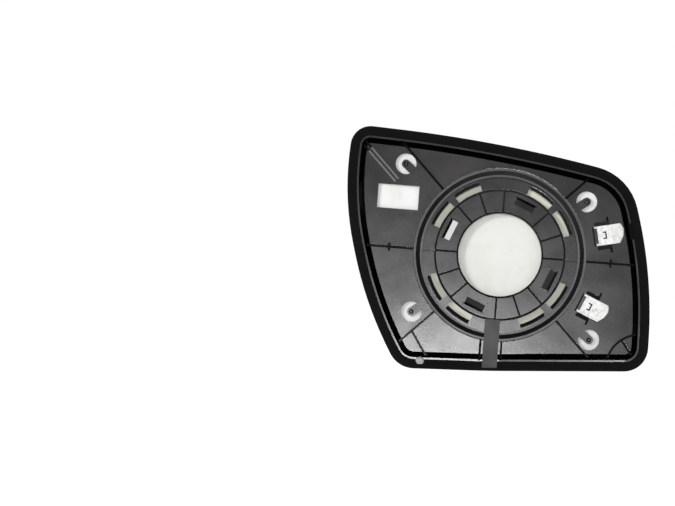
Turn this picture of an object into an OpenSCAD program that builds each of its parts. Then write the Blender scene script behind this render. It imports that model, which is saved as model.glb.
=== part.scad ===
// Heated glass of a car door mirror, left-hand side.
// A convex mirror glass and its heater pad sit in the front of a moulded backing plate.
// The back of the plate carries the ring that snaps on the mirror's tilt motor, the ribs
// that keep it stiff, and two blade terminals for the heater.
// The plan is drawn as seen from the back, about the axis of the ring, with the depth
// counted from the front of the plate's floor towards the back. All lengths are millimetres.

/* [Outline] */
// Upper outer corner: across, up and rounding radius
corner_upper_outer = [-94.6, 84.9, 13.1]; // [-200:0.1:200]
// Bow of the outer side, upper part
bow_outer_high = [-101.5, 38.8, 185.5]; // [-200:0.1:400]
// Bow of the outer side, lower part
bow_outer_low = [-86.8, -32.9, 250.4]; // [-200:0.1:400]
// Lower outer corner
corner_lower_outer = [-66.2, -73.2, 17.5]; // [-200:0.1:200]
// Bow of the lower side
bow_lower = [-8.6, -75.2, 590]; // [-200:0.1:900]
// Lower inner corner
corner_lower_inner = [94.6, -75.4, 15.7]; // [-200:0.1:200]
// Bow of the inner side
bow_inner = [99.3, -16.9, 290]; // [-200:0.1:400]
// Upper inner corner
corner_upper_inner = [84.3, 51.1, 35.8]; // [-200:0.1:200]
// Bow of the upper side
bow_upper = [-0.9, 73.8, 921.5]; // [-200:0.1:1200]

/* [Glass and pad] */
// Radius of the convex mirror surface, to the front of the plate's floor
mirror_r = 1400; // [900:50:3000]
// Thickness of the glass
glass_t = 2; // [1.5:0.1:3]
// Thickness of the heater pad with its adhesive
pad_t = 0.8; // [0.4:0.1:1.5]
// Gap between the edge of the glass and the bezel
glass_gap = 0.2; // [0.1:0.05:0.5]

/* [Rim] */
// Width of the bezel round the glass
bezel_w = 3.2; // [2:0.1:5]
// How far the bezel stands in front of the glass
bezel_proud = 0.3; // [0.1:0.1:1]
// Thickness of the plate's floor
floor_t = 2; // [1.5:0.1:3]
// Height of the rim's crest over the front of the floor
rim_h = 6.5; // [5:0.1:9]
// Width of the slope from the outer edge to the crest
rim_slope_w = 6.3; // [5:0.1:8]
// Width of the crest
crest_w = 1.3; // [0.8:0.1:2]
// Width of the slope from the crest down to the floor
rim_wall_w = 3.2; // [2:0.1:4]
// Radius of the rounded outer edge
edge_round = 1; // [0.6:0.1:1.2]
// Size of the bevels along the crest and along the rim's foot
crest_bevel = 0.4; // [0.2:0.1:0.6]
// Length of the shallow notch in the crest that faces the upper terminal
notch_l = 10.6; // [6:0.1:16]
// Depth of this notch
notch_d = 1.3; // [0.5:0.1:2]
// Radius of the drain hole in the rim, which opens into the recess for the pad and the glass
drain_r = 2.7; // [1:0.1:3]
// Place of the drain hole
drain_at = [-51.7, -68.2]; // [-100:0.1:100]

/* [Ring for the tilt motor] */
// Turn of the ring and of what lines up with it
ring_turn = -4.4; // [-10:0.1:10]
// Radius of the bore in the middle
bore_r = 26.9; // [20:0.1:30]
// Outer radius of the tray round the bore
tray_r = 42.4; // [38:0.1:44]
// Height of the tray's floor
tray_floor_h = 3.6; // [3:0.1:4.5]
// Height of the tray's ribs and lips, which the tilt motor seats on
tray_h = 5.2; // [4.6:0.1:7]
// Width of the tray's ribs and lips
tray_rib_w = 1.1; // [0.8:0.1:2]
// Angle between the places of the tray's ribs
tray_rib_pitch = 22.5; // [15:7.5:45]
// Outer radius of the double ring wall
ring_r = 55.7; // [53:0.1:58]
// Thickness of each ring wall
ring_wall_t = 1.4; // [1:0.1:2]
// Width of the groove between the two ring walls
groove_w = 2.7; // [2:0.1:4]
// Depth of this groove
groove_d = 1.5; // [0.5:0.1:6]
// Height of the ring walls
ring_h = 9.5; // [8:0.1:11]
// Inner radius of the slots that the hooks are moulded through
slot_r = 42.7; // [40:0.1:45]
// Width of these slots
slot_w = 4; // [2:0.1:5]
// Angle that a slot spans
slot_span = 22.5; // [10:0.5:24]
// Angle between the two slots of a pair
slot_pitch = 28; // [26:0.5:40]
// Thickness of a hook
hook_t = 1.6; // [1:0.1:2]
// Angle by which a hook is shorter than its slot
hook_short = 2; // [0:0.5:6]
// Gap between the slot and the hook that stands behind it
hook_gap = 0.3; // [0.1:0.1:1]
// How far a hook's nose reaches over its slot
hook_nose = 0.9; // [0.4:0.1:1.5]
// Height of a nose's flat end
hook_land = 0.4; // [0.2:0.1:0.6]
// Thickness of the motor's flange, which a nose holds down on the tray
flange_t = 3; // [2:0.1:3.5]
// Angle of the first detent pocket in the tray, at the place of a rib in each quarter
pocket_turn = 67.5; // [0:7.5:82.5]
// Width of these pockets
pocket_w = 15; // [10:0.5:18]
// Radius of a pocket's outer edge
pocket_r = 38.7; // [34:0.1:40]
// Length of a pocket along the radius
pocket_l = 5.3; // [3:0.1:8]
// Length of the two narrow arms beside a pocket's tongue
pocket_arm_l = 1.9; // [1:0.1:3]
// Width of these arms
pocket_arm_w = 1; // [0.6:0.1:2]
// Thickness of the skin left under a pocket's deep outer edge
pocket_skin = 0.8; // [0.6:0.1:1.2]

/* [Ribs] */
// Thickness of the ribs between ring and rim
rib_t = 1.3; // [0.8:0.1:2]
// Height of these ribs over the floor
rib_h = 3; // [2:0.1:4]
// Radius at which the two level ribs carry a cross tab
tab_at_r = 71.7; // [60:0.1:80]
// Length of a cross tab
tab_l = 5.2; // [3:0.1:8]
// Inner end of the pair of ribs in the upper outer corner
twin_rib_from = [-66.4, 48.3]; // [-100:0.1:100]
// Spacing of the two ribs in this pair
twin_rib_gap = 2.6; // [2:0.1:5]
// Radius of the curved rib in the lower inner corner
gusset_r = 21.6; // [15:0.1:25]
// Middle of this curved rib's circle
gusset_at = [90, -73]; // [-100:0.1:100]
// Direction of the straight rib from the middle of this circle
gusset_rib_turn = 122.5; // [90:0.5:180]
// Radius at which the branch leaves the lower outer rib
branch_at_r = 75; // [65:0.5:85]
// Direction of this branch
branch_turn = -60.5; // [-90:0.5:-30]
// Width of the bar that crosses from the ring to the lower edge
bar_w = 9.7; // [6:0.1:14]
// How far this bar lies beside the ring's axis, towards the outer side
bar_shift = 1.3; // [0:0.1:3]
// How far this bar stands over the ring walls
bar_rise = 0.2; // [0.1:0.1:1]
// Distance from the bar's end to the lower edge
bar_inset = 2.3; // [1:0.1:4]
// Gap between the bar and the thin wall on each side of it
bar_wall_gap = 1.3; // [0.8:0.1:3]

/* [Openings] */
// Width of the window in the floor
window_w = 26.5; // [15:0.5:32]
// Height of this window
window_h = 15.5; // [8:0.5:20]
// Middle of this window
window_at = [-65.7, 37.7]; // [-100:0.1:100]
// Radius of the four round holes with a tongue
eye_r = 6.7; // [5:0.1:8]
// Width of the tongues
tongue_w = 5.4; // [3:0.1:6.5]
// Radius of the small stud on each tongue
stud_r = 1.5; // [0.8:0.1:2]
// Height of this stud over the tongue
stud_h = 1.1; // [0.5:0.1:2]
// Middle of the upper outer hole
eye_upper_outer = [-60.6, 59]; // [-100:0.1:100]
// Middle of the upper inner hole
eye_upper_inner = [56.2, 34.3]; // [-100:0.1:100]
// Middle of the lower outer hole
eye_lower_outer = [-57.3, -36.6]; // [-100:0.1:100]
// Middle of the lower inner hole
eye_lower_inner = [57.4, -54.9]; // [-100:0.1:100]

/* [Heater terminals] */
// Width of a terminal's blade
blade_w = 12.6; // [6:0.1:14]
// Thickness of the sheet
blade_t = 0.8; // [0.5:0.1:1.2]
// Length of the flat base
base_l = 9.2; // [6:0.1:12]
// Angle between the free end and the base
bend = 40; // [20:1:80]
// Length of the free end
tab_end_l = 10.4; // [7:0.1:12]
// Length of the two legs at the other end
leg_l = 1.6; // [1.2:0.1:3]
// Width of a leg
leg_w = 1.4; // [1:0.1:2]
// Height of the seat under the base, over the front of the floor
seat_h = 4.2; // [3:0.1:6]
// Width of the rails beside the base
rail_w = 2.2; // [1:0.1:3]
// How far the rails stand over the top of the base
rail_rise = 0.5; // [0:0.1:2]
// Gap between the base and the rails
rail_gap = 0.3; // [0.1:0.1:0.6]
// Gap round a leg where it passes through the floor
leg_gap = 0.3; // [0.1:0.1:0.6]
// How far the seat block stays inside the edge of the base
seat_inset = 1; // [0.5:0.1:2]
// How far the rails start behind the base
rail_back = 1; // [0:0.1:2]
// Thickness of the stop wall behind the legs
stop_t = 1; // [0.8:0.1:2]
// Thickness of the gussets outside the rails
web_t = 1.2; // [0.8:0.1:2]
// Length of these gussets
web_l = 3.4; // [2:0.1:5]
// How far a gusset starts below the top of its rail
web_drop = 0.8; // [0:0.1:2]
// Length and width of the tab pressed in the base
lance = [2.2, 4.8]; // [2:0.1:6]
// Width of the slit round this tab
lance_slit = 0.5; // [0.3:0.1:1]
// Clearance round a blade where it comes near the rim
tab_gap = 0.2; // [0.1:0.1:0.6]
// Distances of the upper and the lower terminal from the ring
terminal_gaps = [8.7, 6.5]; // [4:0.1:14]
// Their angles about the ring
terminal_angles = [10.8, -30.4]; // [-90:0.1:90]
// Turns of their own axes
terminal_turns = [8, -27.5]; // [-90:0.1:90]
// How far the four corners of a blade's tip lie behind its end
tip_back = [4.5, 1.2, 0, 2.4]; // [0:0.1:6]

/* [Hidden] */
$fn = 64;

// Longest facet and widest turn between two points of the outline
FACET_L = 8;
FACET_TURN = 8;
// Spacing of the circles that a curved surface is turned from, and the radius they reach
CURVE_STEP = 9;
CURVE_R = 144;
// A depth beyond every surface, for what is cut right through
FAR = 40;
// A small length by which cuts pass a face and pieces of one moulding overlap
LAP = 0.5;

corners = [
    corner_upper_outer, bow_outer_high, bow_outer_low, corner_lower_outer, bow_lower,
    corner_lower_inner, bow_inner, corner_upper_inner, bow_upper
];
eyes = [eye_upper_outer, eye_upper_inner, eye_lower_outer, eye_lower_inner];
upper = placed(0);
lower = placed(1);
terminals = [upper, lower];
// Directions of the ribs that run out from the ring, and of those that bridge it to the tray
outer_ribs = [0, 45, 135, 180, 225, 315];
inner_ribs = [0, 90, 180];
lower_outer_rib = 225;
upper_outer_rib = 135;
// Places of the tip's corners across the blade, as parts of its width
tip_across = [-1 / 2, -1 / 6, 1 / 4, 1 / 2];

bezel_front = -(pad_t + glass_t + bezel_proud);
crest_out = rim_slope_w;
crest_in = rim_slope_w + crest_w;
crest_mid = rim_slope_w + crest_w / 2;
rim_w = crest_in + rim_wall_w;
ring_in_r = ring_r - 2 * ring_wall_t - groove_w;
hook_r = slot_r + slot_w + hook_gap;

// Section of the rim as distance in from the edge and depth: rounded edge, slope, crest, foot
rim_section = [
    [edge_round, bezel_front],
    [edge_round * 0.3, bezel_front + edge_round * 0.6],
    [0, bezel_front + edge_round * 1.6],
    [edge_round * 0.4, bezel_front + edge_round * 2.4],
    [crest_out - crest_bevel * 3 / 4, rim_h - crest_bevel],
    [crest_out + crest_bevel / 4, rim_h],
    [crest_in - crest_bevel / 4, rim_h],
    [crest_in + crest_bevel * 3 / 4, rim_h - crest_bevel],
    [rim_w, floor_t + crest_bevel],
    [rim_w + crest_bevel * 3 / 2, floor_t - LAP],
    [rim_w - edge_round, bezel_front]
];

function unit(v) = v / norm(v);
function corner_at(i) = let (c = corners[(i + len(corners)) % len(corners)]) [c.x, c.y];
function inward(i) = let (t = unit(corner_at(i + 1) - corner_at(i))) [-t.y, t.x];
function turn_from(i) = let (m = inward(i - 1)) atan2(-m.y, -m.x);
function turn_by(i) = let (m = inward(i)) (atan2(-m.y, -m.x) - turn_from(i) + 720) % 360;
// Length of a side that a corner's round takes up, and the part of the rounds that a side has room for
function taken(i) = let (k = (i + len(corners)) % len(corners)) corners[k][2] * tan(turn_by(k) / 2);
function room(i) = min(1, 0.98 * norm(corner_at(i + 1) - corner_at(i)) / (taken(i) + taken(i + 1)));
function round_at(i) = corners[i][2] * min(room(i - 1), room(i));
function steps(i) = ceil(turn_by(i) * max(1 / FACET_TURN, round_at(i) * PI / 180 / FACET_L));

// Stations along the outline: the corner, and the part of its turn that is done
stations = [for (i = [0 : len(corners) - 1]) for (k = [0 : steps(i)]) [i, k / steps(i)]];

// Point of the outline at a station, moved in by a distance, with every round kept round
function edge_point(s, inset) =
    let (
        i = s[0],
        both = inward(i - 1) + inward(i),
        least = 0.2,
        r = max(round_at(i), inset + least),
        middle = corner_at(i) + r * both / (1 + inward(i - 1) * inward(i)),
        a = turn_from(i) + s[1] * turn_by(i)
    )
    middle + (r - inset) * [cos(a), sin(a)];

// Place and turn of a terminal, at its distance from the ring
function placed(i) =
    let (r = ring_r + terminal_gaps[i], a = terminal_angles[i])
    [r * cos(a), r * sin(a), terminal_turns[i]];

// Depth of the curved surface under a point of the plan
function sag(p) = mirror_r - sqrt(mirror_r * mirror_r - p.x * p.x - p.y * p.y);

// The plan stands upright, with its back to -Y and the motor's seat in the plane of the origin
module stand() {
    rotate([90, 0, 0]) translate([0, 0, -tray_h]) children();
}

module outline(inset) {
    polygon([for (s = stations) edge_point(s, inset)]);
}

// Solid behind a curved surface that lies this far behind the front of the floor
module behind(depth) {
    radii = [for (r = [CURVE_STEP : CURVE_STEP : CURVE_R]) r];
    rotate_extrude($fn = 256) translate([0, depth]) polygon([
        [0, sag([CURVE_STEP, 0])],
        for (r = radii) [r, sag([r, 0])],
        [CURVE_R, FAR],
        [0, FAR]
    ]);
}

module ring_plan(r_out, r_in) {
    difference() {
        circle(r_out);
        circle(r_in);
    }
}

module sector(middle, span) {
    reach = 2 * ring_r;
    turns = [middle - span / 2, middle, middle + span / 2];
    polygon([[0, 0], for (a = turns) reach * [cos(a), sin(a)]]);
}

// Bar of the plan from one radius to another, at an angle
module spoke(angle, r_from, r_to, w) {
    rotate(angle) translate([r_from, -w / 2]) square([r_to - r_from, w]);
}

// Raises a plan to a height over the curved back of the floor
module raised(h) {
    difference() {
        linear_extrude(FAR / 2) children();
        behind(floor_t + h);
    }
}

// Rim: its section swept round the outline, on the curved surface
module rim() {
    m = len(rim_section);
    n = len(stations);
    points = [
        for (s = stations)
            for (p = rim_section)
                let (q = edge_point(s, p.x)) [q.x, q.y, sag(q) + p.y]
    ];
    sides = [
        for (i = [0 : n - 1])
            for (j = [0 : m - 1])
                let (
                    a = i * m + j,
                    b = i * m + (j + 1) % m,
                    c = (i + 1) % n * m + (j + 1) % m,
                    d = (i + 1) % n * m + j
                )
                each [[a, b, c], [a, c, d]]
    ];
    polyhedron(points, sides);
}

module floor_panel() {
    difference() {
        translate([0, 0, bezel_front]) linear_extrude(FAR / 2) outline(crest_in + LAP);
        behind(floor_t);
    }
}

// Front recess that holds the pad and the glass
module recess() {
    difference() {
        translate([0, 0, -FAR / 2]) linear_extrude(FAR) outline(bezel_w);
        behind(0);
    }
}

// Tray round the bore: floor, two lips and twelve ribs
module tray() {
    rib_angles = [
        for (a = [0 : tray_rib_pitch : 359]) if (abs(a % 90 - pocket_turn) > tray_rib_pitch / 2) a
    ];
    cylinder(r = tray_r, h = tray_floor_h);
    linear_extrude(tray_h) {
        ring_plan(bore_r + tray_rib_w, bore_r - LAP);
        ring_plan(tray_r, tray_r - tray_rib_w);
        for (a = rib_angles) spoke(a, bore_r, tray_r - tray_rib_w / 2, tray_rib_w);
    }
}

// Pocket in the tray: a ramp that falls outwards, between two narrow arms
module detent_pocket() {
    bottom = pocket_skin + sag([pocket_r, 0]);
    pocket_in_r = pocket_r - pocket_l;
    rotate([90, 0, 0]) linear_extrude(pocket_w, center = true) polygon([
        [pocket_in_r, tray_floor_h],
        [pocket_r, bottom],
        [pocket_r, FAR],
        [pocket_in_r, FAR]
    ]);
    translate([0, 0, bottom]) linear_extrude(FAR) for (side = [0, 1]) mirror([0, side]) {
        translate([pocket_in_r - pocket_arm_l, pocket_w / 2 - pocket_arm_w])
            square([pocket_l + pocket_arm_l - LAP, pocket_arm_w]);
    }
}

// The two ring walls with the groove between them
module ring_walls() {
    linear_extrude(ring_h) {
        ring_plan(ring_r, ring_r - ring_wall_t);
        ring_plan(ring_in_r + ring_wall_t, ring_in_r);
    }
    linear_extrude(ring_h - groove_d) ring_plan(ring_r - ring_wall_t / 2, ring_in_r + ring_wall_t / 2);
}

// Hook that stands behind a slot and leans its nose over the motor's flange
module hook() {
    under = tray_h + flange_t;
    span = slot_span - hook_short;
    rotate(-span / 2) rotate_extrude(angle = span, $fn = 96) polygon([
        [hook_r, 0],
        [hook_r + hook_t, 0],
        [hook_r + hook_t, ring_h],
        [hook_r, ring_h],
        [hook_r - hook_nose, under + hook_land],
        [hook_r - hook_nose, under],
        [hook_r, under]
    ]);
}

module at_slots() {
    for (quarter = [45 : 90 : 359]) for (side = [-1, 1]) {
        rotate(quarter + side * slot_pitch / 2) children();
    }
}

module slot() {
    linear_extrude(FAR, center = true) intersection() {
        ring_plan(slot_r + slot_w, slot_r);
        sector(0, slot_span);
    }
}

// Thin ribs on the floor, which end in the rim
module ribs_plan() {
    far_r = 2 * ring_r;
    branch_dir = ring_turn + lower_outer_rib;
    branch_from = branch_at_r * [cos(branch_dir), sin(branch_dir)];
    rotate(ring_turn) for (a = inner_ribs) spoke(a, tray_r - LAP, ring_in_r + LAP, rib_t);
    intersection() {
        outline(crest_mid);
        union() {
            rotate(ring_turn) {
                for (a = outer_ribs) spoke(a, ring_r - LAP, far_r, rib_t);
                for (a = [0, 180]) {
                    rotate(a) translate([tab_at_r, 0]) square([rib_t, tab_l], center = true);
                }
            }
            for (side = [-1, 1]) translate(twin_rib_from) rotate(ring_turn + upper_outer_rib) {
                translate([0, side * twin_rib_gap / 2 - rib_t / 2]) square([ring_r, rib_t]);
            }
            translate(branch_from) spoke(branch_turn, 0, ring_r, rib_t);
            translate(gusset_at) {
                ring_plan(gusset_r + rib_t / 2, gusset_r - rib_t / 2);
                spoke(gusset_rib_turn, 0, gusset_r, rib_t);
            }
        }
    }
}

// Bar from the tray over the ring walls to the lower edge, with a thin wall on each side
module bar() {
    wall_off = bar_w / 2 + bar_wall_gap + rib_t / 2;
    linear_extrude(ring_h + bar_rise) intersection() {
        outline(bar_inset);
        at_bar() spoke(0, tray_r - LAP, 2 * ring_r, bar_w);
    }
    linear_extrude(ring_h - bar_rise) intersection() {
        outline(crest_mid);
        at_bar() for (side = [-1, 1]) translate([0, side * wall_off]) {
            spoke(0, ring_in_r, 2 * ring_r, rib_t);
        }
    }
}

module at_bar() {
    rotate(ring_turn - 90) translate([0, -bar_shift]) children();
}

// Round hole with a tongue that reaches to its middle
module eye_cut(at) {
    linear_extrude(FAR, center = true) difference() {
        translate(at) circle(eye_r);
        tongue_plan(at);
    }
}

module tongue_plan(at) {
    translate(at) {
        circle(tongue_w / 2);
        rotate(atan2(-at.y, -at.x)) translate([0, -tongue_w / 2]) square([2 * eye_r, tongue_w]);
    }
}

module tongue_stud(at) {
    translate([at.x, at.y, sag(at) + floor_t / 2]) difference() {
        cylinder(r = stud_r, h = floor_t / 2 + stud_h);
        translate([0, 0, floor_t / 2]) cylinder(r = stud_r / 2, h = stud_h + LAP);
    }
}

// Puts a piece at a terminal, on the curved surface
module at_terminal(t) {
    translate([t.x, t.y, sag(t)]) rotate(t[2]) children();
}

// Seat block under a terminal, with a rail on each side and a stop wall
module terminal_seat() {
    rail_in = blade_w / 2 + rail_gap;
    rail_top = seat_h + blade_t + rail_rise;
    rail_end = base_l - rail_back;
    base_h = floor_t / 2;
    translate([0, seat_inset - blade_w / 2, base_h])
        cube([base_l - seat_inset, blade_w - 2 * seat_inset, seat_h - base_h]);
    for (side = [0, 1]) mirror([0, side, 0]) {
        translate([-rail_back, rail_in, base_h]) cube([base_l, rail_w, rail_top - base_h]);
        translate([rail_end - web_t, rail_in + rail_w - LAP, 0]) rotate([90, 0, 90]) {
            linear_extrude(web_t) polygon([
                [0, base_h],
                [web_l + LAP, base_h],
                [web_l + LAP, floor_t],
                [0, rail_top - web_drop]
            ]);
        }
    }
    translate([-leg_l - leg_gap - stop_t, -blade_w / 2, base_h]) cube([stop_t, blade_w, seat_h - base_h]);
}

// Room for a blade, which cuts the rim only where a terminal reaches it
module blade_room() {
    room_w = blade_w + 2 * tab_gap;
    translate([0, -room_w / 2, seat_h]) cube([base_l + tab_gap, room_w, FAR / 2]);
    translate([base_l, 0, seat_h]) rotate([0, -bend, 0]) {
        translate([0, -room_w / 2, -tab_gap]) cube([tab_end_l + tab_gap, room_w, FAR / 2]);
    }
}

// The two small holes that a terminal's legs pass through
module leg_holes() {
    for (side = [0, 1]) mirror([0, side, 0]) {
        translate([-leg_l - leg_gap, blade_w / 2 - leg_w - leg_gap, -FAR / 2])
            cube([blade_t + 2 * leg_gap, leg_w + 2 * leg_gap, FAR]);
    }
}

// Shallow notch in the crest, on the line of the upper terminal
module crest_notch() {
    intersection() {
        linear_extrude(FAR) intersection() {
            difference() {
                outline(crest_out - notch_d);
                outline(crest_in + notch_d);
            }
            translate([upper.x, upper.y]) spoke(upper[2], 0, ring_r, notch_l);
        }
        behind(rim_h - notch_d);
    }
}

module backing_plate() {
    color("#2b292b") stand() difference() {
        union() {
            rim();
            floor_panel();
            rotate(ring_turn) {
                tray();
                ring_walls();
                at_slots() hook();
            }
            raised(rib_h) ribs_plan();
            bar();
            for (e = eyes) tongue_stud(e);
            for (t = terminals) at_terminal(t) terminal_seat();
        }
        recess();
        translate([0, 0, -FAR / 2]) cylinder(r = bore_r, h = FAR);
        rotate(ring_turn) {
            at_slots() slot();
            for (a = [pocket_turn : 90 : 359]) rotate(a) detent_pocket();
        }
        translate(window_at) rotate(ring_turn) cube([window_w, window_h, FAR], center = true);
        for (e = eyes) eye_cut(e);
        translate([drain_at.x, drain_at.y, sag(drain_at) - pad_t]) cylinder(r = drain_r, h = FAR);
        for (t = terminals) at_terminal(t) {
            leg_holes();
            blade_room();
        }
        crest_notch();
    }
}

// Sheet between two curved surfaces, cut to the outline
module sheet(inset, near, far) {
    difference() {
        intersection() {
            translate([0, 0, -FAR / 2]) linear_extrude(FAR) outline(inset);
            behind(-far);
        }
        behind(-near);
    }
}

module heater_pad() {
    color("#e8e6dc") stand() sheet(bezel_w + 3 * glass_gap, 0, pad_t);
}

module mirror_glass() {
    color("#c9ced2") stand() sheet(bezel_w + glass_gap, pad_t, pad_t + glass_t);
}

// Blade terminal: flat base with a pressed tab, bent free end and two legs down to the pad
module terminal() {
    half_w = blade_w / 2;
    tip = [for (i = [0 : 3]) [tab_end_l - tip_back[i], tip_across[i] * blade_w]];
    free_end = [[0, -half_w], each tip, [0, half_w]];
    translate([0, 0, seat_h]) {
        difference() {
            linear_extrude(blade_t) {
                translate([0, -blade_w / 2]) square([base_l, blade_w]);
            }
            translate([base_l / 2 - lance.x / 2, -lance.y / 2, -LAP]) linear_extrude(blade_t + 2 * LAP) {
                difference() {
                    square(lance);
                    translate([-lance_slit, lance_slit]) square([lance.x, lance.y - 2 * lance_slit]);
                }
            }
        }
        translate([base_l, 0]) rotate([0, -bend, 0]) linear_extrude(blade_t) polygon(free_end);
        translate([base_l, 0]) rotate([-90, 0, 0]) linear_extrude(blade_w, center = true) {
            polygon([[0, 0], [0, -blade_t], [-blade_t * sin(bend), -blade_t * cos(bend)]]);
        }
    }
    for (side = [0, 1]) mirror([0, side, 0]) translate([-leg_l, blade_w / 2 - leg_w]) {
        translate([0, 0, seat_h]) cube([leg_l + LAP, leg_w, blade_t]);
        cube([blade_t, leg_w, seat_h + LAP]);
    }
}

module terminal_upper() {
    color("#d9d9d6") stand() at_terminal(upper) terminal();
}

module terminal_lower() {
    color("#d9d9d6") stand() at_terminal(lower) terminal();
}

backing_plate();
heater_pad();
mirror_glass();
terminal_upper();
terminal_lower();
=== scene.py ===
# %% [markdown]
# # The back of a heated door mirror glass
# This lesson dresses the mirror glass of a car's door mirror, seen from its back. The shapes come
# from the exact model in the shared frame, in metres: X to the right, Z up, and the back of the
# plate faces -Y. Blender adds what light finds on the real thing: rounded edges, moulded grain,
# a deep black rim, the silver of the mirror and the bright tin of the two terminals.

# %% Load the frame
import math

import bmesh
import bpy
from mathutils import Matrix, Vector
from mathutils.geometry import convex_hull_2d


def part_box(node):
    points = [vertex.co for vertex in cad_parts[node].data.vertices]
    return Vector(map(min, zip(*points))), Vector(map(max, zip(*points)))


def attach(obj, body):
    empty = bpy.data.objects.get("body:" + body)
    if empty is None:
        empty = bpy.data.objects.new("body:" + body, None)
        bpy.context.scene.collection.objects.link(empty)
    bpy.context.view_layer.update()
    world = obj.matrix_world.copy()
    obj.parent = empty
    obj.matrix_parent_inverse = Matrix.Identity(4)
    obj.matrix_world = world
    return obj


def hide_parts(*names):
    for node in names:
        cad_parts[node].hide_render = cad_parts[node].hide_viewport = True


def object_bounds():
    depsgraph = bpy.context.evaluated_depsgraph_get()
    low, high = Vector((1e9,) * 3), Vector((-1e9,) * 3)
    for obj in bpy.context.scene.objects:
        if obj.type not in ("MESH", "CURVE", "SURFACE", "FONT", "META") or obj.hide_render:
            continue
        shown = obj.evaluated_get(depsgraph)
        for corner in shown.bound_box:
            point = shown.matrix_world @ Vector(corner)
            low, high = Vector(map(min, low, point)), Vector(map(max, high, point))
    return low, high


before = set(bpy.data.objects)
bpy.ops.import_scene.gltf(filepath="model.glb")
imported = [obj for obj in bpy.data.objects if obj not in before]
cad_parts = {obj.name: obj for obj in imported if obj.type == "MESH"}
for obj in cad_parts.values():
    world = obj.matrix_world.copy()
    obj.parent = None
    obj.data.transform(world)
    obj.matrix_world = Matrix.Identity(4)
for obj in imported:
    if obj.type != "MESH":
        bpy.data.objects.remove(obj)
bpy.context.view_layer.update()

# %% [markdown]
# Lengths are easier to read in millimetres, so one name turns them into Blender's metres. These
# are the sizes of the plate that its finishes and the new pieces are placed by. The mirror is a
# piece of a large ball, and the plate's floor follows it, so a small function says how deep the
# curve lies at any place.

# %% Sizes of the plate
MM = 0.001
MIRROR_R = 1400 * MM
RIM_W = 10.8 * MM
RING_TURN = math.radians(-4.4)
RING_R = 55.7 * MM
RING_H = 9.5 * MM
TRAY_R = 42.4 * MM
TRAY_H = 5.2 * MM
BAR_HALF_W = 4.9 * MM
BAR_SHIFT = 1.3 * MM
FLOOR_FRONT_Y = 5.2 * MM
FLOOR_T = 2 * MM


def sag(x, z):
    """Depth of the curved mirror surface at a place in the plan."""
    return MIRROR_R - math.sqrt(MIRROR_R**2 - x * x - z * z)


print("depth of the curve at the ring, mm:", round(sag(RING_R, 0) / MM, 2))

# %% [markdown]
# An operator acts on everything that is selected, so each step first selects exactly what it
# needs. Faces and edges could be picked by their number, but numbers change with every edit. A
# test of their place or direction keeps working.


# %% Helpers for selecting
def select_only(piece):
    """Selects one object and nothing else."""
    bpy.ops.object.select_all(action="DESELECT")
    piece.select_set(True)
    bpy.context.view_layer.objects.active = piece


def select_parts(piece, kind, test):
    """Selects the faces or edges that pass a test, and leaves the piece in edit mode."""
    select_only(piece)
    bpy.ops.object.mode_set(mode="EDIT")
    mesh = bmesh.from_edit_mesh(piece.data)
    for part in (*mesh.faces, *mesh.edges, *mesh.verts):
        part.select = False
    bpy.ops.mesh.select_mode(type=kind)
    for part in mesh.faces if kind == "FACE" else mesh.edges:
        if test(part):
            part.select_set(True)
    bmesh.update_edit_mesh(piece.data)


def everything(part):
    """A test that every face or edge passes."""
    return True


def object_mode():
    """Leaves edit mode, which writes the edits into the mesh."""
    bpy.ops.object.mode_set(mode="OBJECT")


def cut_through(piece, place, direction):
    """Cuts all faces of a piece along a plane and keeps both sides."""
    select_parts(piece, "FACE", everything)
    bpy.ops.mesh.bisect(plane_co=place, plane_no=direction)
    object_mode()


# %% [markdown]
# A modifier could stay live on a piece. Here each one is applied at once, so that the mesh holds
# its result and later steps can count on it. Smooth shading alone makes flat faces look swollen
# beside a rounded edge, so the normals are weighted by area, which keeps large faces flat.


# %% Helpers for finishing
def apply_modifier(piece, kind, **settings):
    """Adds a modifier with its settings and applies it."""
    modifier = piece.modifiers.new(kind.lower(), kind)
    for name, value in settings.items():
        setattr(modifier, name, value)
    select_only(piece)
    bpy.ops.object.modifier_apply(modifier=modifier.name)


def round_edges(piece, width, sharper_than, **settings):
    """Rounds the edges that turn by more than an angle in degrees."""
    apply_modifier(piece, "BEVEL", width=width, segments=2, limit_method="ANGLE",
                   angle_limit=math.radians(sharper_than), **settings)


def smooth_with_flat_faces(piece, angle):
    """Smooths shading over edges softer than an angle in degrees, with flat faces kept flat."""
    select_only(piece)
    bpy.ops.object.shade_smooth_by_angle(angle=math.radians(angle))
    apply_modifier(piece, "WEIGHTED_NORMAL", mode="FACE_AREA", weight=80, keep_sharp=True)


# %% [markdown]
# ## Shader groups
# Two effects appear on more than one finish. They could be built anew in each material, but a node
# group with named inputs is built once and placed with other values. Three helpers make groups and
# nodes with few words.


# %% Helpers for nodes
def new_group(name, inputs, outputs):
    """Makes an empty shader group with float inputs and outputs; inputs have a first value."""
    group = bpy.data.node_groups.new(name, "ShaderNodeTree")
    for label, value in inputs.items():
        socket = group.interface.new_socket(label, in_out="INPUT", socket_type="NodeSocketFloat")
        socket.default_value = value
    for label in outputs:
        group.interface.new_socket(label, in_out="OUTPUT", socket_type="NodeSocketFloat")
    return group


def add(tree, kind, x=0, y=0, **settings):
    """Adds a node with its settings; names that are inputs set the sockets."""
    node = tree.nodes.new(kind)
    node.location = (x, y)
    for name, value in settings.items():
        if hasattr(node, name):
            setattr(node, name, value)
        else:
            node.inputs[name.replace("_", " ")].default_value = value
    return node


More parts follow.
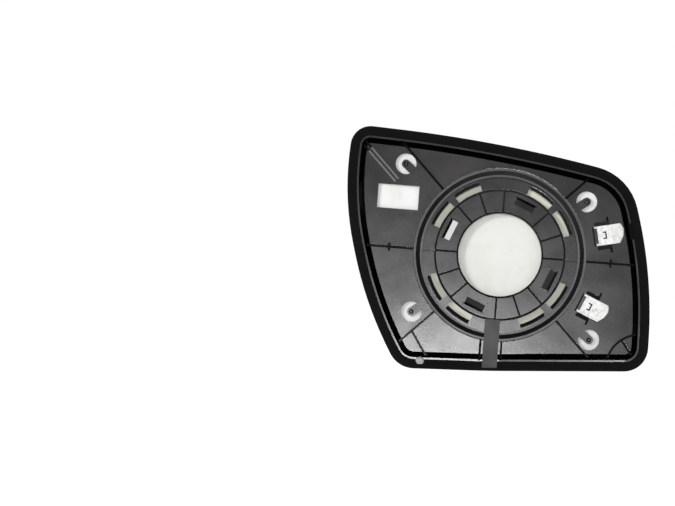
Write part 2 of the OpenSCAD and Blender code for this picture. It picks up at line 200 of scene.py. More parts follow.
def math_node(tree, operation, first, second, x=0, y=0):
    """Adds a Math node, each input a socket or a number, and returns its output."""
    node = add(tree, "ShaderNodeMath", x, y, operation=operation)
    for socket, value in zip(node.inputs, (first, second)):
        if isinstance(value, bpy.types.NodeSocket):
            tree.links.new(value, socket)
        else:
            socket.default_value = value
    return node.outputs[0]


# %% [markdown]
# The first group is the fine grain that a spark-eroded mould leaves on plastic. Three noises of
# different size make it: a fine one for the bumps, a middle one for the speckle, and a broad one
# for the soft patches where the surface takes the light a little differently.


# %% Moulded grain
def build_grain():
    """Builds the group of the moulded grain."""
    group = new_group(
        "moulded_grain",
        {"Grain per metre": 2600, "Patch per metre": 45, "Speckle per metre": 800,
         "Grain share": 0.6},
        ("Height", "Patches", "Speckle"),
    )
    given = add(group, "NodeGroupInput", -700)
    result = add(group, "NodeGroupOutput", 500)
    place = add(group, "ShaderNodeTexCoord", -700, 300).outputs["Object"]
    fine = add(group, "ShaderNodeTexNoise", -400, 300, Detail=3, Roughness=0.6)
    broad = add(group, "ShaderNodeTexNoise", -400, 0, Detail=4, Roughness=0.55, Distortion=0.4)
    middle = add(group, "ShaderNodeTexNoise", -400, -300, Detail=2, Roughness=0.5)
    for noise, label in ((fine, "Grain"), (broad, "Patch"), (middle, "Speckle")):
        group.links.new(place, noise.inputs["Vector"])
        group.links.new(given.outputs[f"{label} per metre"], noise.inputs["Scale"])
    grain_share = given.outputs["Grain share"]
    share = math_node(group, "MULTIPLY", fine.outputs["Fac"], grain_share, -150, 200)
    height = math_node(group, "ADD", share, middle.outputs["Fac"], 50, 200)
    group.links.new(height, result.inputs["Height"])
    group.links.new(broad.outputs["Fac"], result.inputs["Patches"])
    group.links.new(middle.outputs["Fac"], result.inputs["Speckle"])
    return group


GRAIN = build_grain()
print("grain group:", len(GRAIN.nodes), "nodes")

# %% [markdown]
# The second group is handling: faint smears and specks of dust that catch the light on a smooth
# face. It puts out a mask, and each material decides how much rougher or paler the mask makes it.


# %% Handling marks
def build_handling():
    """Builds the group of the handling marks."""
    group = new_group(
        "handling_marks",
        {"Smear per metre": 30, "Speck per metre": 900, "Amount": 0.5},
        ("Mask",),
    )
    given = add(group, "NodeGroupInput", -700)
    result = add(group, "NodeGroupOutput", 500)
    place = add(group, "ShaderNodeTexCoord", -700, 300).outputs["Object"]
    smear = add(group, "ShaderNodeTexNoise", -400, 200, Detail=5, Roughness=0.65, Distortion=1.2)
    speck = add(group, "ShaderNodeTexNoise", -400, -100, Detail=1)
    soft = add(group, "ShaderNodeMapRange", -150, 200, From_Min=0.45, From_Max=0.7)
    sharp = add(group, "ShaderNodeMapRange", -150, -100, From_Min=0.7, From_Max=0.76)
    for noise, limit, label in ((smear, soft, "Smear"), (speck, sharp, "Speck")):
        group.links.new(place, noise.inputs["Vector"])
        group.links.new(given.outputs[f"{label} per metre"], noise.inputs["Scale"])
        group.links.new(noise.outputs["Fac"], limit.inputs["Value"])
    both = math_node(group, "ADD", soft.outputs[0], sharp.outputs[0], 100, 100)
    mask = math_node(group, "MULTIPLY", both, given.outputs["Amount"], 300, 100)
    group.links.new(mask, result.inputs["Mask"])
    return group


HANDLING = build_handling()
print("handling group:", len(HANDLING.nodes), "nodes")

# %% [markdown]
# ## Finishes
# Each finish is a Principled shader with its own colours. The groups change colour, roughness and
# the surface's bumps from place to place, and what is the same all over is set on the shader.


# %% Helpers for materials
def principled(name, **settings):
    """Makes a material and sets its Principled sockets; returns the material, tree and shader."""
    material = bpy.data.materials.new(name)
    material.use_nodes = True
    tree = material.node_tree
    shader = tree.nodes["Principled BSDF"]
    for label, value in settings.items():
        shader.inputs[label.replace("_", " ")].default_value = value
    return material, tree, shader


def place_group(tree, group, **values):
    """Places a group in a material with its own values."""
    node = add(tree, "ShaderNodeGroup", -700, 0, node_tree=group)
    for label, value in values.items():
        node.inputs[label.replace("_", " ")].default_value = value
    return node


def between(tree, mask, dark, light, target, low=0.0, high=1.0):
    """Lets a mask run a socket's colour from dark to light."""
    ramp = add(tree, "ShaderNodeValToRGB", -300, 200)
    ends = ((low, dark), (high, light))
    for element, (position, colour) in zip(ramp.color_ramp.elements, ends):
        element.position = position
        element.color = (*colour, 1)
    tree.links.new(mask, ramp.inputs["Fac"])
    tree.links.new(ramp.outputs["Color"], target)


def vary(tree, mask, low, high, target):
    """Lets a mask run a number from low to high."""
    node = add(tree, "ShaderNodeMapRange", -300, -100, To_Min=low, To_Max=high)
    tree.links.new(mask, node.inputs["Value"])
    tree.links.new(node.outputs[0], target)


# %% [markdown]
# The plate is one black moulding, but its mould was finished in several ways. Floor, ring and bar
# are grained, and they carry a pale sheen where they mirror the lamp. The floor is curved in the
# model itself, so its sheen fades across it. The faces of the tray and the tops of the ring's two
# walls are flat in the model, and a flat face would mirror the lamp alike all over. Instead of
# bending the exact shape, a shallow bump as deep as the mirror's curve is laid under their grain.

# %% Black plastic with grain
GRAIN_DEPTH = 0.03 * MM
SPECKLE_SHARE = 0.3
PATCH_LIMITS = (0.4, 0.6)


def dished(tree, share):
    """A bump that gives flat faces a share of the mirror's curve: height is r^2 / 2R."""
    place = add(tree, "ShaderNodeTexCoord", -900, -600).outputs["Object"]
    square = add(tree, "ShaderNodeVectorMath", -700, -600, operation="DOT_PRODUCT")
    for socket in square.inputs[:2]:
        tree.links.new(place, socket)
    height = math_node(tree, "DIVIDE", square.outputs["Value"], 2 * MIRROR_R, -550, -600)
    node = add(tree, "ShaderNodeBump", -400, -600, Distance=share, Strength=1.0)
    tree.links.new(height, node.inputs["Height"])
    return node.outputs["Normal"]


def grained(name, specular, per_metre, colours, roughness, strength, dish=0):
    """Black plastic with grain; per_metre counts grains, patches and speckles."""
    material, tree, shader = principled(name, Specular_IOR_Level=specular)
    labels = ("Grain_per_metre", "Patch_per_metre", "Speckle_per_metre")
    grain = place_group(tree, GRAIN, **dict(zip(labels, per_metre)))
    patches = grain.outputs["Patches"]
    fine = math_node(tree, "MULTIPLY", grain.outputs["Speckle"], SPECKLE_SHARE, -500, 300)
    broad = math_node(tree, "MULTIPLY", patches, 1 - SPECKLE_SHARE, -500, 150)
    both = math_node(tree, "ADD", fine, broad, -400, 220)
    between(tree, both, *colours, shader.inputs["Base Color"], *PATCH_LIMITS)
    vary(tree, patches, *roughness, shader.inputs["Roughness"])
    bump = add(tree, "ShaderNodeBump", -200, -400, Distance=GRAIN_DEPTH, Strength=strength)
    tree.links.new(grain.outputs["Height"], bump.inputs["Height"])
    if dish:
        tree.links.new(dished(tree, dish), bump.inputs["Normal"])
    tree.links.new(bump.outputs["Normal"], shader.inputs["Normal"])
    return material


FLOOR_LOOK = {
    "per_metre": (3000, 30, 1100),
    "colours": ((0.004, 0.003, 0.0034), (0.018, 0.015, 0.0165)),
    "roughness": (0.11, 0.2),
    "strength": 0.2,
}
RING_LOOK = {
    "per_metre": (2600, 60, 900),
    "colours": ((0.003, 0.0026, 0.0028), (0.012, 0.0105, 0.0115)),
    "roughness": (0.12, 0.19),
    "strength": 0.14,
}
PLASTIC_FLOOR = grained("plastic_grained", 0.31, **FLOOR_LOOK)
PLASTIC_RING = grained("plastic_plain", 0.32, **RING_LOOK)
PLASTIC_TRAY = grained("plastic_tray", 0.32, **RING_LOOK, dish=1)
PLASTIC_WALL = grained("plastic_wall", 0.42, **RING_LOOK, dish=0.6)
PLASTIC_BAR = grained("plastic_bar", 0.5, **RING_LOOK)
print("deepest dish bump, mm:", round(RING_R**2 / (2 * MIRROR_R) * 0.6 / MM, 2))

# %% [markdown]
# Rim and ribs are deep black on the real plate: they scatter little light and have almost no
# sheen. The same black is laid on the groove between the ring's walls and on the lips of the
# motor's seat round the tray, where it is painted shade. The narrow edges get a paler colour, a
# painted highlight that draws a thin line of light beside their real sheen. Both only differ in
# their values, and so do the mirror's silver and the tin of the terminals further on: all four
# are smooth finishes with handling marks, and one function makes them.


# %% Smooth finishes
def handled(name, marks, colours, roughness, **settings):
    """A smooth finish; marks are its smears and specks per metre and their amount."""
    material, tree, shader = principled(name, **settings)
    labels = ("Smear_per_metre", "Speck_per_metre", "Amount")
    mask = place_group(tree, HANDLING, **dict(zip(labels, marks))).outputs["Mask"]
    between(tree, mask, *colours, shader.inputs["Base Color"])
    vary(tree, mask, *roughness, shader.inputs["Roughness"])
    return material


# The black finish; on the groove and the motor's seat it is painted shade.
PLASTIC_RIM_AND_SHADE = handled(
    "plastic_polished_and_shade", (24, 700, 0.35), ((0.0008, 0.0007, 0.0008), (0.003, 0.0028, 0.003)),
    (0.14, 0.26), Specular_IOR_Level=0.04)
# The edges' paler colour is a painted highlight line.
PLASTIC_EDGE_HIGHLIGHT = handled(
    "plastic_edge_painted_highlight", (60, 500, 0.5), ((0.012, 0.011, 0.0115), (0.03, 0.028, 0.029)),
    (0.26, 0.36), Specular_IOR_Level=0.55)
SILVER = handled(
    "mirror_silver", (12, 400, 0.4), ((0.76, 0.77, 0.775), (0.8, 0.81, 0.81)),
    (0.015, 0.045), Metallic=1.0)
TIN = handled(
    "bright_tin", (260, 2500, 0.7), ((0.78, 0.78, 0.775), (0.5, 0.5, 0.495)),
    (0.8, 0.9), Metallic=1.0)
print("smooth finishes:", PLASTIC_RIM_AND_SHADE.name, PLASTIC_EDGE_HIGHLIGHT.name, SILVER.name, TIN.name)

# %% [markdown]
# The heater pad is a printed film that shows through the plate's openings. It is greenish white in
# the bore. In the arc slots round the tray it is painted creamy and a little darker, as painted
# shade, and outside the ring it is painted whiter, as painted light in the deep holes. Each tint
# could be a material of its own, but the pad is one piece, so a colour ramp picks the tint by the
# distance from the bore's axis, and the handling marks dull it here and there.

# %% Film
# Zones of the film's colour: the bore, the arc slots in painted shade, and outside the ring in
# painted light.
FILM_LIGHT_AND_SHADE_ZONES = (
    (0.0, (0.85, 0.855, 0.81)),
    (0.3, (0.86, 0.84, 0.7)),
    (0.5, (0.93, 0.93, 0.925)),
)
DULL_FILM = (0.78, 0.78, 0.72, 1)
MIX_FIRST, MIX_SECOND, MIX_RESULT = 6, 7, 2


def build_film():
    """The heater's film; its zones of painted light and shade start at shares of the ring's
    diameter.
    """
    material, tree, shader = principled("heater_film", Specular_IOR_Level=0.35)
    marks = place_group(tree, HANDLING, Smear_per_metre=60, Speck_per_metre=1400, Amount=0.6)
    place = add(tree, "ShaderNodeTexCoord", -1100, 500).outputs["Object"]
    radius = add(tree, "ShaderNodeVectorMath", -900, 500, operation="LENGTH")
    tree.links.new(place, radius.inputs[0])
    zone = math_node(tree, "DIVIDE", radius.outputs["Value"], 2 * RING_R, -700, 500)
    tint = add(tree, "ShaderNodeValToRGB", -500, 500)
    tint.color_ramp.interpolation = "CONSTANT"
    tint.color_ramp.elements.new(0.5)
    for element, (start, colour) in zip(tint.color_ramp.elements, FILM_LIGHT_AND_SHADE_ZONES):
        element.position = start
        element.color = (*colour, 1)
    tree.links.new(zone, tint.inputs["Fac"])
    dulled = add(tree, "ShaderNodeMix", -200, 400, data_type="RGBA")
    tree.links.new(marks.outputs["Mask"], dulled.inputs["Factor"])
    tree.links.new(tint.outputs["Color"], dulled.inputs[MIX_FIRST])
    dulled.inputs[MIX_SECOND].default_value = DULL_FILM
    tree.links.new(dulled.outputs[MIX_RESULT], shader.inputs["Base Color"])
    vary(tree, marks.outputs["Mask"], 0.42, 0.55, shader.inputs["Roughness"])
    return material


FILM = build_film()
print("film zones start at, mm from the axis:", [
    round(start * 2 * RING_R / MM, 1) for start, _ in FILM_LIGHT_AND_SHADE_ZONES])

# %% [markdown]
# Sheet glass is green at its ground edge, because light has travelled a long way inside it. Real
# glass could be traced through, but a mirror's edge is backed by silver, so a dull green with the
# patches of the grain group looks the same and stays free of noise.


# %% Edge of the glass
def build_glass_edge():
    """The ground edge of the mirror glass."""
    material, tree, shader = principled("glass_edge", Roughness=0.35)
    grain = place_group(tree, GRAIN, Grain_per_metre=3000, Patch_per_metre=120)
    between(tree, grain.outputs["Patches"], (0.16, 0.24, 0.21), (0.3, 0.4, 0.36),
            shader.inputs["Base Color"])
    return material


GLASS_EDGE = build_glass_edge()
print("finishes:", [m.name for m in bpy.data.materials if m.users == 0])

# %% [markdown]
# ## The backing plate
# The exact plate is already right, but its mesh is loose flat triangles with knife-sharp edges. It
# could be modelled again, which would only add errors. So a copy is merged and its level faces are
# joined again, which leaves clean outlines for the bevel that comes later.

# %% Copy and merge
select_only(bpy.data.objects["backing_plate"])
bpy.ops.object.duplicate()
plate = bpy.context.object
plate.name = "plate_moulding"
select_parts(plate, "FACE", everything)
bpy.ops.mesh.remove_doubles(threshold=0.002 * MM)
bpy.ops.mesh.dissolve_limited(angle_limit=math.radians(0.15))
object_mode()
print("merged plate:", len(plate.data.polygons), "faces")

# %% [markdown]
# The finishes go to faces by their place. The plate's outline is convex, so the hull of its
# vertices is its outline, and the distance from it tells rim from floor.

# %% Distance from the outline
plan = [Vector((v.co.x, v.co.z)) for v in plate.data.vertices]
outline = [plan[i] for i in convex_hull_2d(plan)]
sides = [(a, b) for a, b in zip(outline, outline[1:] + outline[:1]) if (b - a).length > 0]


def from_edge(x, z):
    """Distance of a place in the plan from the plate's outline."""
    here = Vector((x, z))
    distances = []
    for start, end in sides:
        along = end - start
        share = min(1.0, max(0.0, (here - start).dot(along) / along.length_squared))
        distances.append((here - start - along * share).length)
    return min(distances)


print("outline:", len(sides), "sides, axis inside by, mm:", round(from_edge(0, 0) / MM, 1))

# %% [markdown]
# A pair of low ribs runs into the upper outer corner, and their tops get a paler colour than the
# other ribs, a painted highlight. They lean the other way, so a place is measured along and beside
# their own direction.

# %% The twin ribs
TWIN_AT = Vector((-66.4 * MM, 48.3 * MM))
TWIN_TURN = RING_TURN + math.radians(135)
TWIN_ALONG = Vector((math.cos(TWIN_TURN), math.sin(TWIN_TURN)))
TWIN_REACH = 2.2 * MM


def on_twin_rib(x, z):
    """Tells whether a place in the plan is on the pair of ribs in the upper outer corner."""
    here = Vector((x, z)) - TWIN_AT
    return abs(TWIN_ALONG.cross(here)) < TWIN_REACH and here.dot(TWIN_ALONG) > 0


print("twin ribs start on a rib:", on_twin_rib(*(TWIN_AT + TWIN_ALONG * MM)))

# %% [markdown]
# Now each face can be told apart. The bar across the ring and the faces inside the ring come
# first. The groove between the ring's walls and the seat of the motor take the black finish as
# painted shade, and all upright faces are black; level faces get the dished finishes, and the
# curved band between tray and walls is plain. Outside the ring, the rim is black, and its crest
# takes the paler, glossier plain finish, partly real sheen and partly a painted highlight line.
# On the floor, what stands up is a rib or a rail and is black too, but the twin ribs' tops take
# the edges' paler colour as a painted highlight.

# %% Share out the finishes
GRAINED, PLAIN, POLISHED_AND_SHADE, EDGE, TRAY, WALL, BAR = range(7)
PLATE_FINISHES = (PLASTIC_FLOOR, PLASTIC_RING, PLASTIC_RIM_AND_SHADE, PLASTIC_EDGE_HIGHLIGHT,
                  PLASTIC_TRAY, PLASTIC_WALL, PLASTIC_BAR)
FACES_BACK = -0.9
LEVEL = -0.9999
IN_RING = RING_R + 0.2 * MM
ON_TRAY = TRAY_R + 0.1 * MM
SEAT_SLACK = 0.1 * MM
GROOVE = (TRAY_H + 1 * MM, RING_H - 0.3 * MM)
CREST_H = 6.4 * MM
CREST_AT = (6.2 * MM, 7.8 * MM)
ABOVE_FLOOR = FLOOR_T + 0.2 * MM


def finish_in_ring(centre, normal, height, radius):
    """Index of the finish at a face inside the ring."""
    in_groove = GROOVE[0] < height < GROOVE[1]
    on_seat = radius < ON_TRAY and abs(centre.y) < SEAT_SLACK
    # Painted shade: the groove and the motor's seat take the black finish.
    if normal.y >= FACES_BACK or in_groove or on_seat:
        return POLISHED_AND_SHADE
    if normal.y < LEVEL:
        return TRAY if height < TRAY_H else WALL
    return PLAIN


def finish_at(centre, normal):
    """Index of the finish at a face of the plate."""
    height = FLOOR_FRONT_Y - sag(centre.x, centre.z) - centre.y
    across = centre.x * math.cos(RING_TURN) + centre.z * math.sin(RING_TURN) + BAR_SHIFT
    radius = math.hypot(centre.x, centre.z)
    faces_back = normal.y < FACES_BACK
    if abs(across) < BAR_HALF_W and centre.z < -TRAY_R and height > CREST_H:
        return BAR if faces_back else POLISHED_AND_SHADE
    if radius < IN_RING:
        return finish_in_ring(centre, normal, height, radius)
    inset = from_edge(centre.x, centre.z)
    if inset < RIM_W:
        # The crest's paler, glossier plain finish is partly a painted highlight line.
        on_crest = faces_back and height > CREST_H and CREST_AT[0] < inset < CREST_AT[1]
        return PLAIN if on_crest else POLISHED_AND_SHADE
    if not faces_back:
        return POLISHED_AND_SHADE
    if height > ABOVE_FLOOR:
        # Painted highlight: the twin ribs' tops take the edges' paler colour.
        return EDGE if on_twin_rib(centre.x, centre.z) else POLISHED_AND_SHADE
    return GRAINED


plate.data.materials.clear()
for material in PLATE_FINISHES:
    plate.data.materials.append(material)
for face in plate.data.polygons:
    face.material_index = finish_at(face.center, face.normal)
print("faces of each finish:", [
    sum(f.material_index == k for f in plate.data.polygons) for k in range(len(PLATE_FINISHES))])

# %% [markdown]
# No moulding has sharp edges: the mould itself is a little round in every corner. A bevel about a
# fifth of a millimetre wide rounds every edge, and its faces take the paler colour of the edges,
# a painted highlight. With the edges' real sheen, that makes the thin lines of light along ribs
# and walls.

# %% Round the plate's edges
# The bevel's faces get the painted highlight of the edge finish.
round_edges(plate, 0.22 * MM, 21, use_clamp_overlap=True, material=EDGE)
smooth_with_flat_faces(plate, 22)
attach(plate, "root")
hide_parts("backing_plate")
print("plate with round edges:", len(plate.data.polygons), "faces")

# %% [markdown]
# ## The mirror glass
# The glass is bent like a piece of a ball, and a mirror shows every flat facet of the exact mesh.
# So it is modelled afresh: a flat sheet on the glass's own outline, cut into small squares with
# bisect, given its thickness by extrude, and then laid on the ball, where smooth shading hides the
# squares.

# %% Draw the sheet
GLASS_T = 2 * MM
GRID = 8 * MM
GRID_LINES = 12
glass_plan = [Vector((v.co.x, v.co.z)) for v in bpy.data.objects["mirror_glass"].data.vertices]
glass_outline = [glass_plan[i] for i in convex_hull_2d(glass_plan)]
bpy.ops.object.select_all(action="DESELECT")
bpy.ops.mesh.primitive_circle_add(vertices=len(glass_outline), radius=0.1, fill_type="NGON")
glass = bpy.context.object
glass.name = "glass_sheet"
for vertex, place in zip(glass.data.vertices, glass_outline):
    vertex.co = (place.x, 0, place.y)
print("outline of the glass:", len(glass_outline), "corners")

# %% [markdown]
# The sheet needs inner vertices, or it could only be bent at its outline. Subdivide would leave
# long thin faces on this outline, so the sheet is cut along a grid of lines in both directions.

# %% Cut it into squares and thicken it
for direction in ((1, 0, 0), (0, 0, 1)):
    for k in range(-GRID_LINES, GRID_LINES + 1):
        cut_through(glass, [part * k * GRID for part in direction], direction)
select_parts(glass, "FACE", everything)
bpy.ops.mesh.remove_doubles(threshold=0.01 * MM)
bpy.ops.mesh.extrude_region_move(TRANSFORM_OT_translate={"value": (0, -GLASS_T, 0)})
bpy.ops.mesh.select_all(action="SELECT")
bpy.ops.mesh.normals_make_consistent(inside=False)
object_mode()
print("glass before bending:", len(glass.data.polygons), "faces")

# %% [markdown]
# The front of the glass is silver to the eye, and its sides are ground glass. The faces are shared
# out while the sheet is still flat, because then the front faces straight forwards. Then each
# vertex moves back by the depth of the curve at its place.

# %% Bend it and finish it
GLASS_FRONT_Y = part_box("mirror_glass")[1].y
GLASS_FINISHES = (SILVER, GLASS_EDGE)
for material in GLASS_FINISHES:
    glass.data.materials.append(material)
for face in glass.data.polygons:
    face.material_index = 0 if face.normal.y > 0.9 else 1
for vertex in glass.data.vertices:
    vertex.co.y += GLASS_FRONT_Y - sag(vertex.co.x, vertex.co.z)
round_edges(glass, 0.15 * MM, 60, material=GLASS_FINISHES.index(GLASS_EDGE))
smooth_with_flat_faces(glass, 30)
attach(glass, "root")
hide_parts("mirror_glass")
print("glass:", len(glass.data.polygons), "faces")

# %% [markdown]
# ## The heater pad
# The pad lies between plate and glass, and only patches of it show through the plate's openings.
# It could be copied and rounded like the plate, but none of its edges is ever seen. So it keeps
# its exact mesh and gets the film's finish in its own material slot.

# %% Film on the pad
pad_slot = bpy.data.objects["heater_pad"].material_slots[0]
pad_slot.material = FILM
print("pad's finish:", pad_slot.material.name)

# %% [markdown]
# ## The heater terminals
# A terminal is stamped from thin tinned sheet: a flat base with a pressed tab, a free end bent up
# and cut to a lopsided point, and two legs. A box could be cut to this shape, but a real one is
# folded, so one sheet is shaped by extruding its edges, as the stamping tool folds it. It is
# modelled once, and the second terminal is a copy with its own mesh.
#
# The sheet is drawn in plan first, x along the blade and z across it, with the underside at y = 0
# and the back towards -y.

# %% Sizes of a terminal
BLADE_W = 12.6 * MM
HALF_W = BLADE_W / 2
BLADE_T = 0.8 * MM
BASE_L = 9.2 * MM
BEND = math.radians(40)
FREE_L = 10.4 * MM
TIP = ((4.5, -1 / 2), (1.2, -1 / 6), (0, 1 / 4), (2.4, 1 / 2))
LEG_L = 1.6 * MM
LEG_W = 1.4 * MM
SEAT_H = 4.2 * MM
TAB_L = 2.4 * MM
TAB_W = 4.8 * MM
TAB_X = BASE_L / 2
TAB_LIFT = 0.45 * MM
SLIT = 0.75 * MM
TAB_END = TAB_X + TAB_L / 2 - SLIT
TOUCH = 0.02 * MM
print("sheet of a terminal, mm:", round(BLADE_W / MM, 1), "by",
      round((FREE_L + BASE_L + LEG_L - BLADE_T + SEAT_H) / MM, 1))


# %% Draw the base
def near(a, b):
    """Tells whether two lengths are the same but for rounding."""
    return abs(a - b) < TOUCH


def draw_base():
    """Draws the flat base, cut along every line that a later step works on."""
    bpy.ops.object.select_all(action="DESELECT")
    bpy.ops.mesh.primitive_plane_add(size=1, location=(0, 0, 0))
    blade = bpy.context.object
    for vertex in blade.data.vertices:
        vertex.co = ((vertex.co.x + 0.5) * BASE_L, 0, vertex.co.y * BLADE_W)
    for x in (TAB_X - TAB_L / 2, TAB_X + TAB_L / 2, TAB_END):
        cut_through(blade, (x, 0, 0), (1, 0, 0))
    for side in (-1, 1):
        for z in (HALF_W - LEG_W, TAB_W / 2, TAB_W / 2 - SLIT):
            cut_through(blade, (0, 0, side * z), (0, 0, 1))
    return blade


# %% [markdown]
# The tab in the middle of the base locks the terminal in its seat. The press cuts a slit round
# three of its sides and lifts its free end, and so does this step: the slit's faces are deleted,
# and the vertices at the tab's end are moved back.


# %% Press the tab
def press_tab(blade):
    """Cuts the slit round the tab and lifts the tab's end."""

    def in_slit(face):
        place = face.calc_center_median()
        inside = abs(place.x - TAB_X) < TAB_L / 2 and abs(place.z) < TAB_W / 2
        on_tab = place.x < TAB_END and abs(place.z) < TAB_W / 2 - SLIT
        return inside and not on_tab

    select_parts(blade, "FACE", in_slit)
    bpy.ops.mesh.delete(type="FACE")
    object_mode()
    for vertex in blade.data.vertices:
        if near(vertex.co.x, TAB_END) and abs(vertex.co.z) < TAB_W / 2 - SLIT / 2:
            vertex.co.y = -TAB_LIFT


# %% [markdown]
# The free end takes the connector of the heater's lead. The base's front edge is extruded at the
# bend's angle, and the new edge is then pulled back to the lopsided point.


# %% Bend the free end
def free_length(z):
    """Length of the free end at a place across it, read off the corners of its point."""
    corners = [(FREE_L - back * MM, part * BLADE_W) for back, part in TIP]
    for (length_0, z_0), (length_1, z_1) in zip(corners, corners[1:]):
        if z_0 - TOUCH / 20 <= z <= z_1 + TOUCH / 20:
            length = length_0 + (length_1 - length_0) * (z - z_0) / (z_1 - z_0)
    return length


def bend_free_end(blade):
    """Extrudes the free end from the base's front edge and cuts its point."""
    forth, back = math.cos(BEND), -math.sin(BEND)
    select_parts(blade, "EDGE", lambda edge: all(near(v.co.x, BASE_L) for v in edge.verts))
    bpy.ops.mesh.extrude_region_move(TRANSFORM_OT_translate={
        "value": (FREE_L * forth, FREE_L * back, 0)})
    object_mode()
    for vertex in blade.data.vertices:
        if vertex.co.x > BASE_L + FREE_L * forth - TOUCH:
            length = free_length(vertex.co.z)
            vertex.co.x = BASE_L + length * forth
            vertex.co.y = length * back


# %% [markdown]
# Two legs carry the current to the pad. The outer parts of the base's rear edge are extruded
# twice: first outwards, then forwards through the floor. One call could not do both, because each
# fold starts from the edge that the one before it made.


# %% Fold the legs
def fold_legs(blade):
    """Extrudes both legs from the base's rear edge."""
    for fold in ((BLADE_T - LEG_L, 0, 0), (0, SEAT_H, 0)):
        rear_x = min(v.co.x for v in blade.data.vertices)
        front_y = max(v.co.y for v in blade.data.vertices)

        def on_leg(edge):
            first, second = (v.co for v in edge.verts)
            return first.z * second.z > 0 and all(
                near(end.x, rear_x) and near(end.y, front_y)
                and abs(end.z) > HALF_W - LEG_W - TOUCH
                for end in (first, second))

        select_parts(blade, "EDGE", on_leg)
        bpy.ops.mesh.extrude_region_move(TRANSFORM_OT_translate={"value": fold})
        object_mode()


# %% [markdown]
# Solidify gives the folded sheet its thickness, on the side that looks away from the plate, and a
# small bevel softens the stamped edges.


# %% Make the first terminal
def build_blade(name):
    """Builds one terminal at the origin."""
    blade = draw_base()
    blade.name = name
    press_tab(blade)
    bend_free_end(blade)
    fold_legs(blade)
    select_parts(blade, "FACE", everything)
    bpy.ops.mesh.normals_make_consistent(inside=False)
    object_mode()
    flat = next(f for f in blade.data.polygons if near(f.center.y, 0))
    apply_modifier(blade, "SOLIDIFY", thickness=BLADE_T, offset=1 if flat.normal.y < 0 else -1,
                   use_even_offset=True)
    round_edges(blade, 0.14 * MM, 30)
    smooth_with_flat_faces(blade, 40)
    blade.data.materials.append(TIN)
    return blade


TERMINALS = {
    "blade_upper": ("terminal_upper", 10.8, RING_R + 8.7 * MM, 8.0),
    "blade_lower": ("terminal_lower", -30.4, RING_R + 6.5 * MM, -27.5),
}
first_name, *other_names = TERMINALS
blades = {first_name: build_blade(first_name)}
print("one terminal:", len(blades[first_name].data.polygons), "faces")

# %% [markdown]
# Each terminal stands beside the ring, at an angle and a distance from the bore's axis, and is
# turned by its own angle. The place goes into the mesh with transform_apply, so that the object
# itself stays at the origin. The last line compares the finished piece with the exact one.

# %% Place both terminals
for name in other_names:
    select_only(blades[first_name])
    bpy.ops.object.duplicate()
    blades[name] = bpy.context.object
    blades[name].name = name
for name, blade in blades.items():
    node, angle, radius, turn = TERMINALS[name]
    x, z = radius * math.cos(math.radians(angle)), radius * math.sin(math.radians(angle))
    seat = Matrix.Translation((x, FLOOR_FRONT_Y - SEAT_H - sag(x, z), z))
    blade.matrix_world = seat @ Matrix.Rotation(-math.radians(turn), 4, "Y")
    select_only(blade)
    bpy.ops.object.transform_apply(location=True, rotation=True, scale=True)
    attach(blade, "root")
    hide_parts(node)
    low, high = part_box(node)
    made = [blade.matrix_world @ v.co for v in blade.data.vertices]
    print(name, "off the CAD box by, mm:", [
        round(1000 * (f(v[i] for v in made) - (low, high)[k][i]), 2)
        for k, f in enumerate((min, max)) for i in range(3)])

# %% [markdown]
# ## Floor, light and camera
# The part stands on a plain white floor in a white room, as on a sales picture. Lamps strong
# enough to make the floor white would wash out the part. So floor and room look white only to the
# camera and in reflections, which a Light Path node tells apart, and light the part softly.

# %% Floor
WHITE = (1, 1, 1, 1)
FLOOR_GLOW = 1.2
GLOW_SHARE = 0.8


def any_ray(tree, *kinds):
    """1 for rays of the kinds that are named, and 0 for all others."""
    path = add(tree, "ShaderNodeLightPath", -900, 0)
    found, *others = (path.outputs[f"Is {kind} Ray"] for kind in kinds)
    for k, other in enumerate(others):
        found = math_node(tree, "MAXIMUM", found, other, 200 * k - 700, 0)
    return found


def blend_shaders(tree, share, first, second, output):
    """Mixes two shader nodes by a share and puts the result out."""
    blend = add(tree, "ShaderNodeMixShader", 200, 0)
    for socket, source in zip(blend.inputs, (share, first.outputs[0], second.outputs[0])):
        tree.links.new(source, socket)
    tree.links.new(blend.outputs[0], tree.nodes[output].inputs["Surface"])


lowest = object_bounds()[0].z
bpy.ops.object.select_all(action="DESELECT")
bpy.ops.mesh.primitive_plane_add(size=8, location=(0, 0, lowest - 0.05 * MM))
ground = bpy.context.object
ground.name = "studio_floor"
white, tree, shader = principled("studio_white", Base_Color=(0.92, 0.92, 0.92, 1), Roughness=0.9)
glow = add(tree, "ShaderNodeEmission", -200, -300, Color=WHITE, Strength=FLOOR_GLOW)
glowing = math_node(tree, "MULTIPLY", any_ray(tree, "Camera", "Glossy"), GLOW_SHARE, -200, 0)
blend_shaders(tree, glowing, shader, glow, "Material Output")
ground.data.materials.append(white)
print("floor at, mm:", round(ground.location.z / MM, 2))

# %% [markdown]
# The room is the world's background. One background shader is what the camera and the mirror see,
# plain white, and a weaker one is what lights the part.

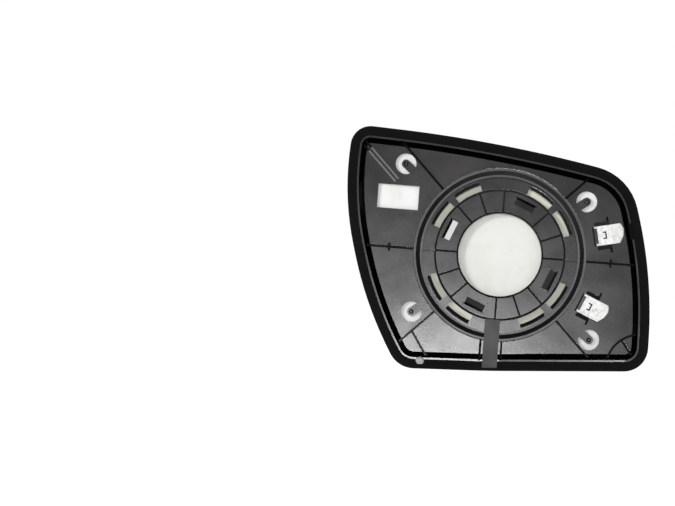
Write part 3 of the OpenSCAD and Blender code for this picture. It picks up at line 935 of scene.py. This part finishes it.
# %% The white room
ROOM_LIGHT = 0.3
world = bpy.data.worlds.new("studio")
bpy.context.scene.world = world
world.use_nodes = True
tree = world.node_tree
soft = tree.nodes["Background"]
soft.inputs["Color"].default_value = WHITE
soft.inputs["Strength"].default_value = ROOM_LIGHT
plain = add(tree, "ShaderNodeBackground", -200, -200, Color=WHITE, Strength=1.0)
seen = any_ray(tree, "Camera", "Glossy", "Transmission")
blend_shaders(tree, seen, soft, plain, "World Output")
print("the room lights the part at", ROOM_LIGHT, "of its own white")

# %% [markdown]
# Three lamps light the part. The key lamp at the upper left throws the shadows. The distant lamp
# behind the camera is the one that the black floor mirrors: the floor is hollow like a dish, so
# the glare gathers low on its left side and fades towards the upper right. The last one lights the
# mirror's face, which the camera of this picture does not see.

# %% Lamps
LAMPS = {
    "lamp_key": ((-0.96, -1.0, 0.49), 0.3, 8.5),
    "lamp_above": ((0.17, -5.0, 0.55), 0.3, 68),
    "lamp_front": ((0.4, 1.2, 0.9), 0.8, 9),
}
for name, (place, side, watts) in LAMPS.items():
    bpy.ops.object.light_add(type="AREA", location=place)
    lamp = bpy.context.object
    lamp.name = name
    lamp.data.shape = "SQUARE"
    lamp.data.size = side
    lamp.data.energy = watts
    lamp.rotation_euler = (-Vector(place)).to_track_quat("-Z", "Y").to_euler()
    lamp.visible_camera = False
print("lamps:", list(LAMPS))

# %% [markdown]
# The camera looks straight at the back through a long lens, so that near and far edges have one
# scale. The photograph is 675 by 506 pixels, at 0.647 mm a pixel on the plate, and the ring's axis
# is 162.3 pixels right of its middle and 1.9 below. The camera stands before the ring and turns a
# little to the left, which puts the plate there without shifting the lens.

# %% Camera
PHOTO_W = 675
PIXEL = 0.647 * MM
AXIS_RIGHT, AXIS_BELOW = 162.3 * PIXEL, 1.9 * PIXEL
AWAY = 2.6
SENSOR = 36.0
camera_data = bpy.data.cameras.new("camera")
camera = bpy.data.objects.new("camera", camera_data)
bpy.context.scene.collection.objects.link(camera)
bpy.context.scene.camera = camera
camera_data.sensor_width = SENSOR
camera_data.lens = SENSOR * AWAY / (PHOTO_W * PIXEL)
camera_data.clip_end = 50
camera.location = (0, -AWAY, 0)
aim = Vector((-AXIS_RIGHT, 0, AXIS_BELOW)) - camera.location
camera.rotation_euler = aim.to_track_quat("-Z", "Y").to_euler()
bpy.context.scene.view_settings.view_transform = "Standard"
print("lens, mm:", round(camera_data.lens, 1))
